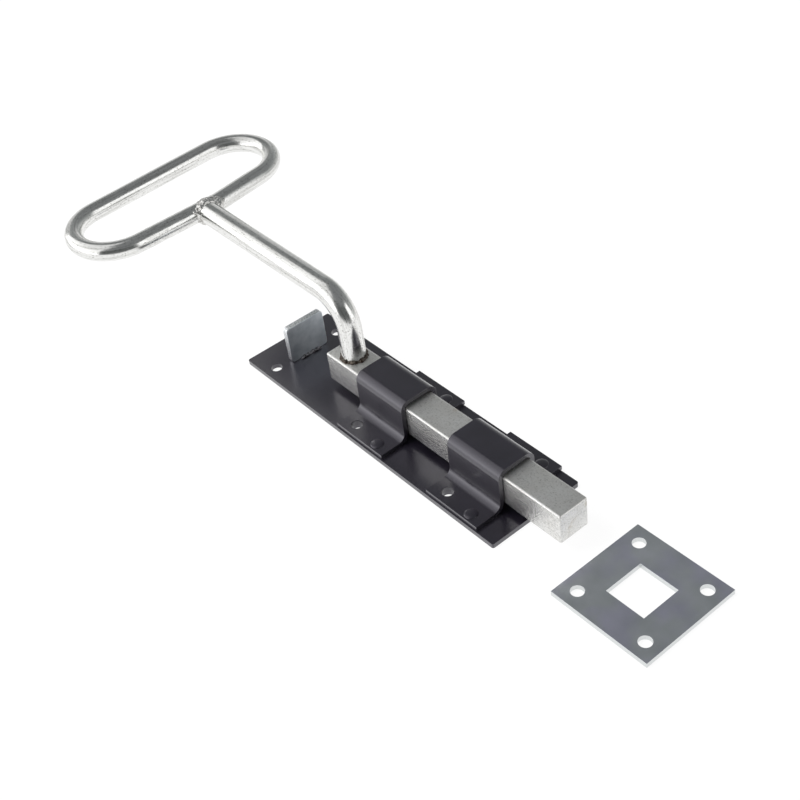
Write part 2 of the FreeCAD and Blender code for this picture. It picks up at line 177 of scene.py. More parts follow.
bpy.ops.mesh.primitive_uv_sphere_add(segments=2 * TENT_RINGS, ring_count=TENT_RINGS,
                                     radius=TENT_RADIUS)
tent = bpy.context.object
tent.name = "tent"
tent.data.shade_smooth()
for sight in ("visible_camera", "visible_diffuse", "visible_transmission", "visible_shadow"):
    setattr(tent, sight, False)

tent_cloth = bpy.data.materials.new("tent_cloth")
tent_cloth.use_nodes = True
tree = tent_cloth.node_tree
tree.nodes.clear()
where = add_node(tree, "ShaderNodeTexCoord")
way = add_node(tree, "ShaderNodeVectorMath", {0: where.outputs["Object"]}, operation="NORMALIZE")
height = add_node(tree, "ShaderNodeSeparateXYZ", {0: way.outputs[0]})
far = add_node(tree, "ShaderNodeValToRGB", {"Fac": height.outputs["Z"]}, stops=[
    (level, linear(colour)) for level, colour in TENT_FAR])
near = add_node(tree, "ShaderNodeValToRGB", {"Fac": height.outputs["Z"]}, stops=[
    (level, linear(colour)) for level, colour in TENT_NEAR])
farness = add_node(tree, "ShaderNodeVectorMath", {
    0: way.outputs[0], 1: FAR_DIRECTION}, operation="DOT_PRODUCT")
turn = add_node(tree, "ShaderNodeMapRange", {
    "Value": farness.outputs["Value"], "From Min": -0.25, "From Max": 0.45},
    interpolation_type="SMOOTHSTEP")
cloth = add_node(tree, "ShaderNodeMix", {
    "Factor": turn.outputs[0], 6: near.outputs[0], 7: far.outputs[0]}, data_type="RGBA")
light = add_node(tree, "ShaderNodeEmission", {"Color": cloth.outputs[2], "Strength": 1.0})
add_node(tree, "ShaderNodeOutputMaterial", {"Surface": light.outputs[0]})
tent.data.materials.append(tent_cloth)
print("tent radius in metres:", TENT_RADIUS)

# %% [markdown]
# Two softboxes and two strips light the bolt. The main box hangs to the left of the picture and
# reaches almost overhead, a small one stands low on the right, and the strips lie along the floor
# behind. Each is a patch of a sphere, given by the compass turns and heights between which it is
# seen. Its glow is given at the foot and at the top, because the main box is dimmer high up, which
# softens the upper side of each highlight.

# %% Softboxes
BOX_RADIUS = 2.4
SOFTBOXES = {
    "main_softbox": {"turns": (193, 281), "lean": -35, "heights": (-2, 73), "glow": (2.1, 0.8)},
    "side_softbox": {"turns": (9, 43), "lean": 0, "heights": (-2, 41), "glow": (1.25, 1.25)},
    "floor_strip": {"turns": (142, 176), "lean": 0, "heights": (-1, 9), "glow": (0.95, 0.95)},
    "strip_halo": {"turns": (138, 184), "lean": 0, "heights": (9, 24), "glow": (0.62, 0.55)},
}
BOX_STEPS = 12
TOP_GLOW_HEIGHT = 0.8 * BOX_RADIUS


def hang_softbox(name, turns, lean, heights, glow):
    """A glowing patch of a sphere; lean is how far its first edge has turned round at the top."""
    points = []
    for i in range(BOX_STEPS + 1):
        height = math.radians(heights[0] + (heights[1] - heights[0]) * i / BOX_STEPS)
        first = turns[0] + lean * (i / BOX_STEPS) ** 2
        for j in range(BOX_STEPS + 1):
            turn = math.radians(first + (turns[1] - first) * j / BOX_STEPS)
            reach = BOX_RADIUS * math.cos(height)
            points.append((reach * math.cos(turn), reach * math.sin(turn),
                           BOX_RADIUS * math.sin(height)))
    row = BOX_STEPS + 1
    faces = [(i * row + j, i * row + j + 1, (i + 1) * row + j + 1, (i + 1) * row + j)
             for i in range(BOX_STEPS) for j in range(BOX_STEPS)]
    mesh = bpy.data.meshes.new(name)
    mesh.from_pydata(points, [], faces)
    box = bpy.data.objects.new(name, mesh)
    bpy.context.collection.objects.link(box)
    box.visible_camera = False
    screen = bpy.data.materials.new(name + "_screen")
    screen.use_nodes = True
    tree = screen.node_tree
    tree.nodes.clear()
    spot = add_node(tree, "ShaderNodeNewGeometry")
    level = add_node(tree, "ShaderNodeSeparateXYZ", {0: spot.outputs["Position"]})
    fall = add_node(tree, "ShaderNodeMapRange", {
        "Value": level.outputs["Z"], "From Max": TOP_GLOW_HEIGHT, "To Min": glow[0],
        "To Max": glow[1]})
    light = add_node(tree, "ShaderNodeEmission", {
        "Color": linear("FFFFFF"), "Strength": fall.outputs[0]})
    add_node(tree, "ShaderNodeOutputMaterial", {"Surface": light.outputs[0]})
    mesh.materials.append(screen)


for name, box in SOFTBOXES.items():
    hang_softbox(name, **box)
print("softboxes:", list(SOFTBOXES))

# %% [markdown]
# One soft lamp in the main box's place gives the faint shadows and the light on paint that isn't
# reflection. It is hidden from mirrors, because the boxes already fill them.

# %% Lamp
LAMP_PLACE = Vector((-0.8, -1.0, 1.7))
LAMP_SIDE = 1.1
LAMP_WATTS = 30.0

lamp = bpy.data.objects.new("lamp", bpy.data.lights.new("lamp", "AREA"))
bpy.context.collection.objects.link(lamp)
lamp.data.size = LAMP_SIDE
lamp.data.energy = LAMP_WATTS
lamp.location = LAMP_PLACE
lamp.rotation_euler = LAMP_PLACE.to_track_quat("Z", "Y").to_euler()
lamp.visible_glossy = False
print("lamp watts:", LAMP_WATTS)

# %% [markdown]
# Every finish starts the same way: a named material, its tree, its main shader and the object's own
# coordinates, which are metres in the model, so a pattern of so many millimetres keeps that size.
# It ends the same way too: a colour, a roughness and a bumped normal go into the shader.

# %% Start and end of a finish
def start_finish(name):
    """A new material with its tree, its main shader, and the place and normal of the surface."""
    finish = bpy.data.materials.new(name)
    finish.use_nodes = True
    tree = finish.node_tree
    shader = tree.nodes["Principled BSDF"]
    surface = add_node(tree, "ShaderNodeTexCoord")
    return finish, tree, shader, surface.outputs["Object"], surface.outputs["Normal"]


def end_finish(tree, shader, colour, roughness, normal, metallic=1.0):
    """Links a finish's colour, roughness and normal to its shader; metal unless said otherwise."""
    tree.links.new(colour, shader.inputs["Base Color"])
    tree.links.new(roughness, shader.inputs["Roughness"])
    tree.links.new(normal, shader.inputs["Normal"])
    shader.inputs["Metallic"].default_value = metallic


def per_mm(size_mm):
    """Texture scale at which one feature measures about size_mm."""
    return 1 / (size_mm * MM)


print("scale of a 2 mm pattern:", per_mm(2))

# %% [markdown]
# The plate and guides are mild steel under a thin stove-baked black enamel. Such a coat is satin:
# it mirrors the bright bar as a blur, turns pale at a low angle, and has a faint orange peel that
# breaks up long highlights. A little dust and rubbing makes its gloss uneven. The black leans to
# violet, which shows only in its highlights.

# %% Black enamel
black_enamel, tree, shader, place, _ = start_finish("black_stove_enamel")
peel = add_node(tree, "ShaderNodeTexNoise", {"Vector": place, "Scale": per_mm(1.6), "Detail": 3.0})
rubbed = add_node(tree, "ShaderNodeTexNoise", {"Vector": place, "Scale": per_mm(14), "Detail": 5.0})
tone = add_node(tree, "ShaderNodeValToRGB", {"Fac": rubbed.outputs["Fac"]}, stops=[
    (0.35, linear("110E16")), (0.70, linear("19161F"))])
gloss = add_node(tree, "ShaderNodeMapRange", {
    "Value": rubbed.outputs["Fac"], "From Min": 0.3, "From Max": 0.7, "To Min": 0.34,
    "To Max": 0.40})
skin = add_node(tree, "ShaderNodeBump", {
    "Height": peel.outputs["Fac"], "Strength": 0.10, "Distance": 0.03 * MM})
end_finish(tree, shader, tone.outputs[0], gloss.outputs[0], skin.outputs[0], metallic=0.0)
tree.links.new(skin.outputs[0], shader.inputs["Coat Normal"])
shader.inputs["Specular IOR Level"].default_value = 0.6
shader.inputs["Specular Tint"].default_value = linear("EAE4FF")
shader.inputs["Coat Weight"].default_value = 1.0
shader.inputs["Coat Roughness"].default_value = 0.22
shader.inputs["Coat IOR"].default_value = 1.65
print(black_enamel.name)

# %% [markdown]
# The bar is bright drawn square steel that has been handled. Its faces carry small dark pits, wide
# shallow dents, and thin brown stains where oil and damp have sat. The sides shine and their pits
# run deep. The top is duller, with fine lines along it, because it rubs against the guides.

# %% Drawn bar steel
bar_steel, tree, shader, place, normal = start_finish("drawn_bar_steel")
stretch = add_node(tree, "ShaderNodeMapping", {"Vector": place, "Scale": (0.06, 1.0, 1.0)})
drawn_lines = add_node(tree, "ShaderNodeTexNoise", {
    "Vector": stretch.outputs[0], "Scale": per_mm(0.45), "Detail": 4.0})
rolled = add_node(tree, "ShaderNodeMapping", {"Vector": place, "Scale": (0.9, 1.0, 1.0)})
grain = add_node(tree, "ShaderNodeTexNoise", {
    "Vector": rolled.outputs[0], "Scale": per_mm(0.75), "Detail": 5.0, "Roughness": 0.65})
dents = add_node(tree, "ShaderNodeTexNoise", {
    "Vector": rolled.outputs[0], "Scale": per_mm(3.0), "Detail": 3.0})
stain = add_node(tree, "ShaderNodeTexNoise", {
    "Vector": place, "Scale": per_mm(12), "Detail": 6.0, "Roughness": 0.6})
facing = add_node(tree, "ShaderNodeSeparateXYZ", {0: normal})
upward = add_node(tree, "ShaderNodeMapRange", {
    "Value": facing.outputs["Z"], "From Min": 0.3, "From Max": 0.9})
stain_tone = add_node(tree, "ShaderNodeValToRGB", {"Fac": stain.outputs["Fac"]}, stops=[
    (0.28, linear("D9D3C8")), (0.36, linear("ECEBE8")), (0.75, linear("F8F8F7"))])
pit_tone = add_node(tree, "ShaderNodeValToRGB", {"Fac": grain.outputs["Fac"]}, stops=[
    (0.30, linear("72706C")), (0.41, linear("E4E4E2")), (0.54, linear("FFFFFF"))])
pitting = add_node(tree, "ShaderNodeMapRange", {
    "Value": upward.outputs[0], "To Min": 0.55, "To Max": 0.42})
tone = add_node(tree, "ShaderNodeMix", {
    "Factor": pitting.outputs[0], 6: stain_tone.outputs[0], 7: pit_tone.outputs[0]},
    data_type="RGBA", blend_type="MULTIPLY")
relief = add_node(tree, "ShaderNodeMix", {
    "Factor": upward.outputs[0], 2: grain.outputs["Fac"], 3: drawn_lines.outputs["Fac"]},
    data_type="FLOAT")
depth = add_node(tree, "ShaderNodeMapRange", {
    "Value": upward.outputs[0], "To Min": 0.6, "To Max": 0.16})
skin = add_node(tree, "ShaderNodeBump", {
    "Height": relief.outputs[0], "Strength": depth.outputs[0], "Distance": 0.55 * MM})
skin = add_node(tree, "ShaderNodeBump", {
    "Height": dents.outputs["Fac"], "Strength": 0.4, "Distance": 0.10 * MM,
    "Normal": skin.outputs[0]})
gloss = add_node(tree, "ShaderNodeMapRange", {
    "Value": upward.outputs[0], "To Min": 0.24, "To Max": 0.54})
end_finish(tree, shader, tone.outputs[2], gloss.outputs[0], skin.outputs[0])
print(bar_steel.name)

# %% [markdown]
# Stem and bow are round rod with bright zinc on it, nearly a mirror. Drawing the rod left hair-fine
# lines along it. They follow the bends, so they are drawn in the rod's own space, which the tube
# stores on its surface: across, up and along, in metres.

# %% Bright zinc rod
ROD_SPACE = "rod_space"

bright_zinc, tree, shader, place, _ = start_finish("bright_zinc_rod")
rod_space = add_node(tree, "ShaderNodeAttribute", attribute_name=ROD_SPACE)
stretch = add_node(tree, "ShaderNodeMapping", {
    "Vector": rod_space.outputs["Vector"], "Scale": (1.0, 1.0, 0.03)})
hairlines = add_node(tree, "ShaderNodeTexNoise", {
    "Vector": stretch.outputs[0], "Scale": per_mm(0.9), "Detail": 4.0})
bloom = add_node(tree, "ShaderNodeTexNoise", {"Vector": place, "Scale": per_mm(6), "Detail": 4.0})
speckle = add_node(tree, "ShaderNodeTexNoise", {
    "Vector": place, "Scale": per_mm(0.7), "Detail": 4.0})
streak_tone = add_node(tree, "ShaderNodeValToRGB", {"Fac": hairlines.outputs["Fac"]}, stops=[
    (0.32, linear("DADAD8")), (0.54, linear("F8F8F7"))])
speck_tone = add_node(tree, "ShaderNodeValToRGB", {"Fac": speckle.outputs["Fac"]}, stops=[
    (0.30, linear("A8A6A2")), (0.43, linear("FBFBFA"))])
tone = add_node(tree, "ShaderNodeMix", {
    "Factor": 1.0, 6: streak_tone.outputs[0], 7: speck_tone.outputs[0]}, data_type="RGBA",
    blend_type="MULTIPLY")
gloss = add_node(tree, "ShaderNodeMapRange", {
    "Value": bloom.outputs["Fac"], "From Min": 0.3, "From Max": 0.7, "To Min": 0.17,
    "To Max": 0.26})
skin = add_node(tree, "ShaderNodeBump", {
    "Height": hairlines.outputs["Fac"], "Strength": 0.30, "Distance": 0.06 * MM})
end_finish(tree, shader, tone.outputs[2], gloss.outputs[0], skin.outputs[0])
print(bright_zinc.name)

# %% [markdown]
# The stop tab is hot-rolled strip, left bare: blue-grey mill skin on its faces, and paler, grainy
# metal along the sheared edges, which catch more light than the faces do.

# %% Mill-skinned strip
mill_strip, tree, shader, place, normal = start_finish("mill_skinned_strip")
clouds = add_node(tree, "ShaderNodeTexNoise", {"Vector": place, "Scale": per_mm(5), "Detail": 5.0})
grit = add_node(tree, "ShaderNodeTexNoise", {"Vector": place, "Scale": per_mm(0.6), "Detail": 5.0})
facing = add_node(tree, "ShaderNodeSeparateXYZ", {0: normal})
flatness = add_node(tree, "ShaderNodeMath", {0: facing.outputs["X"]}, operation="ABSOLUTE")
sheared = add_node(tree, "ShaderNodeMapRange", {
    "Value": flatness.outputs[0], "From Min": 0.9, "From Max": 0.5})
face_tone = add_node(tree, "ShaderNodeValToRGB", {"Fac": clouds.outputs["Fac"]}, stops=[
    (0.35, linear("CDD5DB")), (0.68, linear("E4EAEF"))])
edge_tone = add_node(tree, "ShaderNodeValToRGB", {"Fac": grit.outputs["Fac"]}, stops=[
    (0.38, linear("C4C9CD")), (0.58, linear("FAFCFD"))])
tone = add_node(tree, "ShaderNodeMix", {
    "Factor": sheared.outputs[0], 6: face_tone.outputs[0], 7: edge_tone.outputs[0]},
    data_type="RGBA")
gloss = add_node(tree, "ShaderNodeMapRange", {
    "Value": sheared.outputs[0], "To Min": 0.50, "To Max": 0.36})
torn = add_node(tree, "ShaderNodeMapRange", {
    "Value": sheared.outputs[0], "To Min": 0.12, "To Max": 0.9})
skin = add_node(tree, "ShaderNodeBump", {
    "Height": grit.outputs["Fac"], "Strength": torn.outputs[0], "Distance": 0.22 * MM})
end_finish(tree, shader, tone.outputs[2], gloss.outputs[0], skin.outputs[0])
print(mill_strip.name)

# %% [markdown]
# The keeper is sheet steel with blue-passivated zinc. The zinc lies in soft clouds of slightly
# different grey, a touch blue in places, and its sheared edges are bright.

# %% Zinc-plated sheet
zinc_sheet, tree, shader, place, normal = start_finish("blue_passivated_zinc")
clouds = add_node(tree, "ShaderNodeTexNoise", {"Vector": place, "Scale": per_mm(11), "Detail": 5.0})
tint = add_node(tree, "ShaderNodeTexNoise", {"Vector": place, "Scale": per_mm(18), "Detail": 2.0})
grit = add_node(tree, "ShaderNodeTexNoise", {"Vector": place, "Scale": per_mm(0.5), "Detail": 4.0})
facing = add_node(tree, "ShaderNodeSeparateXYZ", {0: normal})
sheared = add_node(tree, "ShaderNodeMapRange", {
    "Value": facing.outputs["Z"], "From Min": 0.9, "From Max": 0.4})
grey = add_node(tree, "ShaderNodeValToRGB", {"Fac": clouds.outputs["Fac"]}, stops=[
    (0.32, linear("E9EAF0")), (0.55, linear("F1F1F8")), (0.72, linear("F6F5FE"))])
blue = add_node(tree, "ShaderNodeValToRGB", {"Fac": tint.outputs["Fac"]}, stops=[
    (0.40, linear("F2FBF6")), (0.62, linear("E9E9FF"))])
face_tone = add_node(tree, "ShaderNodeMix", {
    "Factor": 0.5, 6: grey.outputs[0], 7: blue.outputs[0]}, data_type="RGBA", blend_type="MULTIPLY")
tone = add_node(tree, "ShaderNodeMix", {
    "Factor": sheared.outputs[0], 6: face_tone.outputs[2], 7: linear("E2E5E5")}, data_type="RGBA")
gloss = add_node(tree, "ShaderNodeMapRange", {
    "Value": clouds.outputs["Fac"], "From Min": 0.3, "From Max": 0.7, "To Min": 0.30,
    "To Max": 0.38})
skin = add_node(tree, "ShaderNodeBump", {
    "Height": grit.outputs["Fac"], "Strength": 0.12, "Distance": 0.05 * MM})
end_finish(tree, shader, tone.outputs[2], gloss.outputs[0], skin.outputs[0])
print(zinc_sheet.name)

# %% [markdown]
# Weld metal is a frozen puddle: lumpy, grey, bright on its crests, and brown with rust and burnt
# scale in the creases beside it.

# %% Weld metal
def make_weld_metal(name, crest, crease, dull, bright):
    """Lumpy weld metal, from the colour and roughness of its creases to those of its crests."""
    finish, tree, shader, place, _ = start_finish(name)
    crust = add_node(tree, "ShaderNodeTexNoise", {
        "Vector": place, "Scale": per_mm(1.2), "Detail": 6.0, "Roughness": 0.7})
    tone = add_node(tree, "ShaderNodeValToRGB", {"Fac": crust.outputs["Fac"]}, stops=[
        (0.40, linear(crease)), (0.62, linear(crest))])
    gloss = add_node(tree, "ShaderNodeMapRange", {
        "Value": crust.outputs["Fac"], "From Min": 0.4, "From Max": 0.62, "To Min": dull,
        "To Max": bright})
    skin = add_node(tree, "ShaderNodeBump", {
        "Height": crust.outputs["Fac"], "Strength": 0.4, "Distance": 0.2 * MM})
    end_finish(tree, shader, tone.outputs[0], gloss.outputs[0], skin.outputs[0])
    return finish


zinc_weld = make_weld_metal("zinc_covered_weld", "F4F4F2", "C4C2BE", 0.45, 0.22)
rusty_weld = make_weld_metal("rusty_weld", "8E867E", "3A2C23", 0.70, 0.40)
tab_weld = make_weld_metal("bare_weld", "A09FA4", "565458", 0.60, 0.40)
print(zinc_weld.name, rusty_weld.name, tab_weld.name)

# %% [markdown]
# The plate, the guides, the bar, the tab and the keeper already have their true shape in the model.
# What that shape lacks is the tiny rounding of real edges, which catches the light. A copy of the
# mesh is welded together, its flat faces are made whole, and its sharp edges are rounded. The feet
# of the real guides stand a little to the far side, so the ends of the feet are shifted that way.

# %% Rounded copies of flat work
SHARP_DEGREES = 30
FLAT_DEGREES = 1
WELD_GAP_MM = 0.001
ROUNDING_STEPS = 3
FOOT_END_MM = 23.5
FOOT_SHIFT = 0.32


def rounded_copy(node, name, finish, body, slot, edge_mm, shift=0.0):
    """A copy of a node, its sharp edges rounded by edge_mm, its outer ends shifted sideways."""
    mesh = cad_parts[node].data.copy()
    mesh.name = name
    work = bmesh.new()
    work.from_mesh(mesh)
    bmesh.ops.remove_doubles(work, verts=work.verts, dist=WELD_GAP_MM * MM)
    bmesh.ops.dissolve_limit(work, angle_limit=math.radians(FLAT_DEGREES), verts=work.verts,
                             edges=work.edges)
    for corner in work.verts:
        corner.co.y += shift * max(0.0, abs(corner.co.y) - FOOT_END_MM * MM)
    work.to_mesh(mesh)
    work.free()
    mesh.shade_smooth()
    mesh.materials.clear()
    mesh.materials.append(finish)
    piece = bpy.data.objects.new(name, mesh)
    bpy.context.collection.objects.link(piece)
    edge = piece.modifiers.new("rounded edges", "BEVEL")
    edge.width = edge_mm * MM
    edge.segments = ROUNDING_STEPS
    edge.limit_method = "ANGLE"
    edge.angle_limit = math.radians(SHARP_DEGREES)
    flats = piece.modifiers.new("flat faces", "WEIGHTED_NORMAL")
    flats.weight = 100
    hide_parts(node)
    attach(piece, body)
    return piece


for part in (("back_plate", "enamelled_plate", black_enamel, "mount", "black_paint", 0.35),
             ("rear_guide", "enamelled_rear_guide", black_enamel, "mount", "black_paint", 0.35,
              FOOT_SHIFT),
             ("front_guide", "enamelled_front_guide", black_enamel, "mount", "black_paint", 0.35,
              FOOT_SHIFT),
             ("bolt_bar", "square_bar", bar_steel, "bolt", "bar_steel", 0.28),
             ("stop_tab", "strip_tab", mill_strip, "mount", "bare_steel", 0.35),
             ("keeper_plate", "zinc_keeper", zinc_sheet, "mount", "zinc_plate", 0.12)):
    print("rounded piece:", rounded_copy(*part).name)

# %% [markdown]
# The rods, beads and rivets follow rules, so Geometry Nodes make them. Each tree is built here once
# with named inputs. A helper hangs a tree on a piece, fills the inputs by their identifiers, and
# turns the result into a plain mesh, because the finished piece must not depend on the tree.

# %% Geometry Nodes helpers
SOCKET_KINDS = {"Geometry": "NodeSocketGeometry", "Finish": "NodeSocketMaterial",
                "Seed": "NodeSocketInt", "Melting": "NodeSocketInt", "Sides": "NodeSocketInt"}


def start_tree(name, inputs):
    """A Geometry Nodes tree with named inputs, and its group input and output nodes."""
    tree = bpy.data.node_groups.new(name, "GeometryNodeTree")
    for socket in ["Geometry", *inputs, "Finish"]:
        kind = SOCKET_KINDS.get(socket, "NodeSocketFloat")
        tree.interface.new_socket(socket, in_out="INPUT", socket_type=kind)
    tree.interface.new_socket("Geometry", in_out="OUTPUT", socket_type="NodeSocketGeometry")
    return tree, add_node(tree, "NodeGroupInput"), add_node(tree, "NodeGroupOutput")


def end_tree(tree, given, result, surface):
    """Realizes the instances, shades them smooth, sets the finish and links the tree's output."""
    real = add_node(tree, "GeometryNodeRealizeInstances", {"Geometry": surface})
    smooth = add_node(tree, "GeometryNodeSetShadeSmooth", {"Geometry": real.outputs[0]})
    coated = add_node(tree, "GeometryNodeSetMaterial", {
        "Geometry": smooth.outputs[0], "Material": given.outputs["Finish"]})
    tree.links.new(coated.outputs[0], result.inputs[0])


def grow(name, tree, points, edges, finish, **sizes):
    """A plain mesh piece grown by a tree from points and edges in millimetres."""
    seedling = bpy.data.meshes.new(name + "_path")
    seedling.from_pydata([Vector(point) * MM for point in points], edges, [])
    grower = bpy.data.objects.new(name, seedling)
    bpy.context.collection.objects.link(grower)
    growth = grower.modifiers.new(tree.name, "NODES")
    growth.node_group = tree
    filled = {key.replace("_", " ").capitalize(): value for key, value in sizes.items()}
    filled["Finish"] = finish
    for item in tree.interface.items_tree:
        if item.in_out == "INPUT" and item.name in filled:
            growth[item.identifier] = filled[item.name]
    bpy.context.view_layer.update()
    view = bpy.context.evaluated_depsgraph_get()
    grown = bpy.data.meshes.new_from_object(grower.evaluated_get(view))
    bpy.data.objects.remove(grower)
    grown.name = name
    grown.materials.clear()
    grown.materials.append(finish)
    piece = bpy.data.objects.new(name, grown)
    bpy.context.collection.objects.link(piece)
    print(name, "has", len(grown.polygons), "faces")
    return piece


def settle(piece, body, slot, *replaced):
    """The piece stands for CAD nodes and rides on a body; the slot argument is not used."""
    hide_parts(*replaced)
    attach(piece, body)


print("tree helpers ready")

# %% [markdown]
# A bent rod is one circle carried along a path. The tree turns the path's points into a curve, puts
# the circle along it, and stores the rod's own space for the hairlines.

# %% Bent rod tree
bent_rod, given, result = start_tree("bent_rod", ["Radius", "Sides"])
line = add_node(bent_rod, "GeometryNodeMeshToCurve", {"Mesh": given.outputs["Geometry"]})
travel = add_node(bent_rod, "GeometryNodeSplineParameter")
marked_line = add_node(bent_rod, "GeometryNodeStoreNamedAttribute", {
    "Geometry": line.outputs[0], "Name": "along", "Value": travel.outputs["Length"]},
    data_type="FLOAT", domain="POINT")
ring = add_node(bent_rod, "GeometryNodeCurvePrimitiveCircle", {
    "Resolution": given.outputs["Sides"], "Radius": given.outputs["Radius"]}, mode="RADIUS")
spot = add_node(bent_rod, "GeometryNodeInputPosition")
marked_ring = add_node(bent_rod, "GeometryNodeStoreNamedAttribute", {
    "Geometry": ring.outputs[0], "Name": "across", "Value": spot.outputs[0]},
    data_type="FLOAT_VECTOR", domain="POINT")
tube = add_node(bent_rod, "GeometryNodeCurveToMesh", {
    "Curve": marked_line.outputs[0], "Profile Curve": marked_ring.outputs[0], "Fill Caps": True})
across = add_node(bent_rod, "GeometryNodeInputNamedAttribute", {"Name": "across"},
                  data_type="FLOAT_VECTOR")
along = add_node(bent_rod, "GeometryNodeInputNamedAttribute", {"Name": "along"}, data_type="FLOAT")
parts = add_node(bent_rod, "ShaderNodeSeparateXYZ", {0: across.outputs[0]})
space = add_node(bent_rod, "ShaderNodeCombineXYZ", {
    "X": parts.outputs[0], "Y": parts.outputs[1], "Z": along.outputs[0]})
marked_tube = add_node(bent_rod, "GeometryNodeStoreNamedAttribute", {
    "Geometry": tube.outputs[0], "Name": ROD_SPACE, "Value": space.outputs[0]},
    data_type="FLOAT_VECTOR", domain="POINT")
end_tree(bent_rod, given, result, marked_tube.outputs[0])
print("bent rod tree has", len(bent_rod.nodes), "nodes")

# %% [markdown]
# The stem stands on the bar, bends over to the rear in one quarter turn, and runs level to the bow.
# The bow is a closed line round three discs: a wide one at the joint, where the near side is bent a
# little, and one at each end. Between two discs it runs straight, along the line that touches both.

# %% Stem and bow
STEM_X, STEM_FOOT_Z = -31.3, 22.2
STEM_RADIUS, STEM_BEND = 5.9, 16.0
GRIP_Z, GRIP_NEAR_X, GRIP_RADIUS = 54.0, -149.0, 4.85
STEM_BITE = 1.5
STEM_END_X = GRIP_NEAR_X + GRIP_RADIUS - STEM_BITE
GRIP_BEND, JOINT_BEND, FAR_END_LEAN = 22.1, 30.0, 4.2
FAR_BEND_Y, NEAR_BEND_Y = 34.6, -39.2
GRIP_DISCS = [((GRIP_NEAR_X - JOINT_BEND, STEM_RADIUS), JOINT_BEND),
              ((GRIP_NEAR_X - GRIP_BEND - FAR_END_LEAN, FAR_BEND_Y), GRIP_BEND),
              ((GRIP_NEAR_X - GRIP_BEND, NEAR_BEND_Y), GRIP_BEND)]
ARC_STEP = math.radians(3)
ROD_SIDES = 64


def arc_points(middle, radius, start, end):
    """Points of an arc in its own plane, from one angle to another."""
    count = max(2, math.ceil(abs(end - start) / ARC_STEP))
    turns = [start + (end - start) * i / count for i in range(count + 1)]
    return [(middle[0] + radius * math.cos(turn), middle[1] + radius * math.sin(turn))
            for turn in turns]


def leaving_turn(disc, next_disc):
    """The angle at which a line round the outside leaves one disc for the next."""
    way = Vector(next_disc[0]) - Vector(disc[0])
    heading = math.atan2(way.y, way.x)
    return (heading - math.acos((disc[1] - next_disc[1]) / way.length)) % (2 * math.pi)


stem_bend = arc_points((STEM_X - STEM_BEND, GRIP_Z - STEM_BEND), STEM_BEND, 0, math.pi / 2)
stem_path = [(STEM_X, 0, STEM_FOOT_Z), *[(x, 0, z) for x, z in stem_bend], (STEM_END_X, 0, GRIP_Z)]
stem_edges = [(i, i + 1) for i in range(len(stem_path) - 1)]
stem = grow("bent_stem", bent_rod, stem_path, stem_edges, bright_zinc,
            radius=STEM_RADIUS * MM, sides=ROD_SIDES)
settle(stem, "bolt", "bright_zinc", "handle_stem")

turns = [0, leaving_turn(*GRIP_DISCS[:2]), leaving_turn(*GRIP_DISCS[1:]), 2 * math.pi]
bow_path = [(GRIP_NEAR_X, 0, GRIP_Z)]
for i, (middle, radius) in enumerate(GRIP_DISCS):
    bow_path += [(x, y, GRIP_Z) for x, y in arc_points(middle, radius, turns[i], turns[i + 1])]
bow_edges = [(i, (i + 1) % len(bow_path)) for i in range(len(bow_path))]
bow = grow("bow_handle", bent_rod, bow_path, bow_edges, bright_zinc,
           radius=GRIP_RADIUS * MM, sides=ROD_SIDES)
settle(bow, "bolt", "bright_zinc", "bow_grip")

# %% [markdown]
# A weld bead is a puddle that was laid along a line and froze. The tree carries a small circle
# along the line, fuses the tubes into one volume, turns that back into a skin and blurs it, which
# melts the creases. Then it pushes the skin in and out by noise, so every bead is lumpy in its own
# way, from a fixed seed.

# %% Weld bead tree
PUDDLE_GRAIN_MM = 0.25
PUDDLE_DEPTH_MM = 1.0
BEAD_STEP_MM = 0.35
BEAD_SIDES = 24

weld_bead, given, result = start_tree("weld_bead", [
    "Radius", "Lump size", "Lump height", "Raggedness", "Melting", "Seed"])
line = add_node(weld_bead, "GeometryNodeMeshToCurve", {"Mesh": given.outputs["Geometry"]})
even = add_node(weld_bead, "GeometryNodeResampleCurve", {
    "Curve": line.outputs[0], "Length": BEAD_STEP_MM * MM}, mode="LENGTH")
ring = add_node(weld_bead, "GeometryNodeCurvePrimitiveCircle", {
    "Resolution": BEAD_SIDES, "Radius": given.outputs["Radius"]}, mode="RADIUS")
tube = add_node(weld_bead, "GeometryNodeCurveToMesh", {
    "Curve": even.outputs[0], "Profile Curve": ring.outputs[0], "Fill Caps": True})
puddle = add_node(weld_bead, "GeometryNodeMeshToVolume", {
    "Mesh": tube.outputs[0], "Voxel Size": PUDDLE_GRAIN_MM * MM,
    "Interior Band Width": PUDDLE_DEPTH_MM * MM}, resolution_mode="VOXEL_SIZE")
crust = add_node(weld_bead, "GeometryNodeVolumeToMesh", {
    "Volume": puddle.outputs[0], "Voxel Size": PUDDLE_GRAIN_MM * MM}, resolution_mode="VOXEL_SIZE")
spot = add_node(weld_bead, "GeometryNodeInputPosition")
melted = add_node(weld_bead, "GeometryNodeBlurAttribute", {
    "Value": spot.outputs[0], "Iterations": given.outputs["Melting"]}, data_type="FLOAT_VECTOR")
sunk = add_node(weld_bead, "GeometryNodeSetPosition", {
    "Geometry": crust.outputs[0], "Position": melted.outputs[0]})
fineness = add_node(weld_bead, "ShaderNodeMath", {
    0: 1.0, 1: given.outputs["Lump size"]}, operation="DIVIDE")
lumps = add_node(weld_bead, "ShaderNodeTexNoise", {
    "Vector": spot.outputs[0], "W": given.outputs["Seed"], "Scale": fineness.outputs[0],
    "Detail": given.outputs["Raggedness"]}, noise_dimensions="4D")
swell = add_node(weld_bead, "ShaderNodeMapRange", {
    "Value": lumps.outputs["Fac"], "From Min": 0.3, "From Max": 0.7, "To Min": -1.0, "To Max": 1.0})
